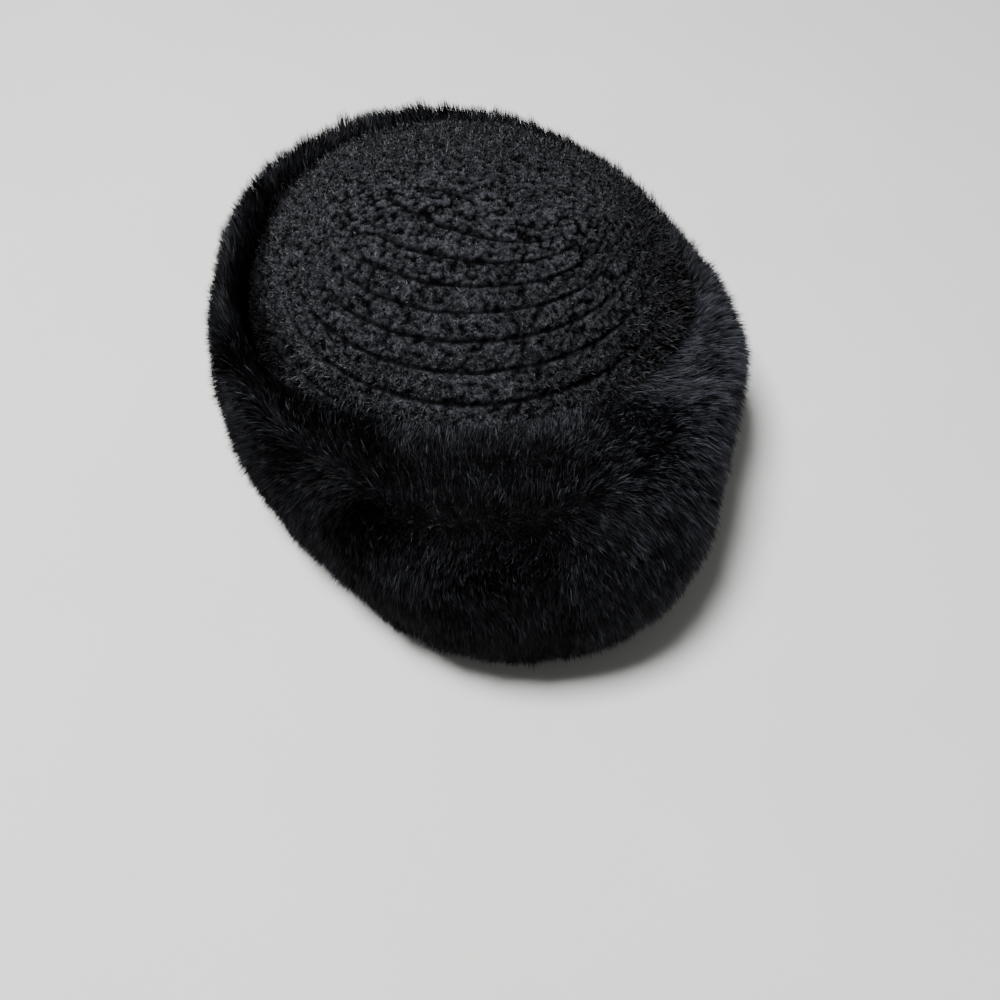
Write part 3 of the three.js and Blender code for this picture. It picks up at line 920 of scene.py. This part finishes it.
points = blades(root, middle, tip, flat_side, width)

# The tone of the tufts, with painted light and shade in it: a painted sheen where the comb laid them,
# painted light on the clumps, lighter next to the front of the crown, and painted shade towards the table,
# along the crest at the front and just behind the combed side.
FUR_TONE = 0.19
UNCOMBED_TONE = 0.9
COMB_SHEEN = 2.3
HIGH_TONE = 1.15
LOW_SHADE = 0.7
LOW_RUN = 85
CLUMP_LIGHT = 0.55
BEHIND_SHADE_SHARE = 0.5
BEHIND_SHADE_ANGLE = math.radians(105)
BEHIND_SHADE_SPAN = math.radians(35)
FRONT_SHADE = 0.45
FRONT_ANGLE = math.radians(-12)
FRONT_SPAN = math.radians(28)
FRONT_RUN = 32
LIP_TONE = 0.24
LIP_RUN = 8
LIP_ANGLE = math.radians(20)
HAIR_TONES = 0.8
COMB_TONES = 0.3
HAIR_NORMALS = 0.45
FUR_TONES = (0.02, 0.98)

tuft_tone_and_light = FUR_TONE + uneven("tone")
# Painted sheen where the comb laid the hair flat, and painted shade towards the table.
tuft_tone_and_light *= (UNCOMBED_TONE + COMB_SHEEN * laid) * (HIGH_TONE - LOW_SHADE * ramp(past_crest, 0, LOW_RUN))
# Painted light on the raised clumps, and painted shade just behind the combed side.
tuft_tone_and_light *= (1 + CLUMP_LIGHT * clump) * (1 - BEHIND_SHADE_SHARE * hump(tuft_angle - BEHIND_SHADE_ANGLE, BEHIND_SHADE_SPAN))
# Painted shade along the crest at the front.
front = np.exp((np.cos(tuft_angle - FRONT_ANGLE) - 1) / FRONT_SPAN**2)
tuft_tone_and_light *= 1 - FRONT_SHADE * front * hump(past_crest, FRONT_RUN)
tuft_tone_and_light += LIP_TONE * np.exp(-tuft_run / LIP_RUN) * (0.5 + 0.5 * np.cos(tuft_angle - LIP_ANGLE)) ** 2
hair_tone = np.exp((HAIR_TONES + COMB_TONES * per_hair(laid)) * draw.normal(size=hairs))
shades = np.clip(per_hair(tuft_tone_and_light) * hair_tone, *FUR_TONES)
normals = unit(facing + HAIR_NORMALS * draw.normal(size=(hairs, 3)))
by_angle = np.argsort((root_angle + math.pi / 4) % FULL_TURN, kind="stable")
for name, chosen in zip(FUR_PARTS, np.array_split(by_angle, len(FUR_PARTS))):
    fur = make_hairs(name, points[chosen], shades[chosen], normals[chosen], fur_material)
    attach(fur, "root")
    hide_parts("fur_cuff")

# Floor.
# A plain pale surface that the hat rests on, one wide flat sheet with a faint cloudy unevenness.
# It is only there to take the shadow, and isn't part of the hat.
FLOOR_REACH = 4000.0
FLOOR_DARK = (0.70, 0.70, 0.69)
FLOOR_LIGHT = (0.78, 0.78, 0.775)

floor_material, shade = new_material("pale_floor")
floor_sockets = {
    "Base Color": shade.grain(scale=9.0, detail=4.0).between(FLOOR_DARK, FLOOR_LIGHT),
    "Roughness": 0.9,
    "Specular IOR Level": 0.1,
}
finish_material(shade, floor_sockets)
corners = np.array([[-1, -1, 0], [1, -1, 0], [1, 1, 0], [-1, 1, 0]]) * FLOOR_REACH
floor = make_piece("floor", corners, np.array([[0, 1, 2, 3]]), floor_material)

# Lights.
# One soft square light high over the hat and to its left as the camera sees it, so that the shadow
# falls on the right. An even pale surround fills the shadow. Places and sizes here are in metres.
SURROUND_COLOUR = (1.0, 0.99, 0.97, 1)
SURROUND_STRENGTH = 0.17
LIGHT_PLACE = (-0.4, 0.02, 1.4)
LIGHT_SIZE = 0.42
LIGHT_WATTS = 46.0

world = bpy.data.worlds.new("surround")
world.use_nodes = True
surround = world.node_tree.nodes["Background"]
surround.inputs["Color"].default_value = SURROUND_COLOUR
surround.inputs["Strength"].default_value = SURROUND_STRENGTH
bpy.context.scene.world = world
lamp = bpy.data.lights.new("left_light", "AREA")
lamp.energy = LIGHT_WATTS
lamp.size = LIGHT_SIZE
left_light = bpy.data.objects.new("left_light", lamp)
left_light.location = LIGHT_PLACE
left_light.rotation_euler = (-left_light.location).to_track_quat("-Z", "Y").to_euler()
bpy.context.scene.collection.objects.link(left_light)

# Camera.
# It looks steeply down on the hat from the front, a little round towards the wearer's right.
# Its view is as wide as it is far away, and the hat stands above the middle of the frame.
CAMERA_AZIMUTH = math.radians(-15)
CAMERA_PITCH = math.radians(58)
CAMERA_RIGHT = 11.3
CAMERA_BACK = 300.7
CAMERA_HEIGHT = 389.6
CAMERA_SENSOR = 36

lens = bpy.data.cameras.new("camera")
lens.sensor_width = CAMERA_SENSOR
lens.lens = CAMERA_SENSOR
camera = bpy.data.objects.new("camera", lens)
camera.location = (
    MM * (APEX_SIDE + CAMERA_RIGHT * math.cos(CAMERA_AZIMUTH) + CAMERA_BACK * math.sin(CAMERA_AZIMUTH)),
    MM * (APEX_BACK + CAMERA_RIGHT * math.sin(CAMERA_AZIMUTH) - CAMERA_BACK * math.cos(CAMERA_AZIMUTH)),
    MM * CAMERA_HEIGHT,
)
camera.rotation_euler = (math.pi / 2 - CAMERA_PITCH, 0, CAMERA_AZIMUTH)
bpy.context.scene.collection.objects.link(camera)
bpy.context.scene.camera = camera
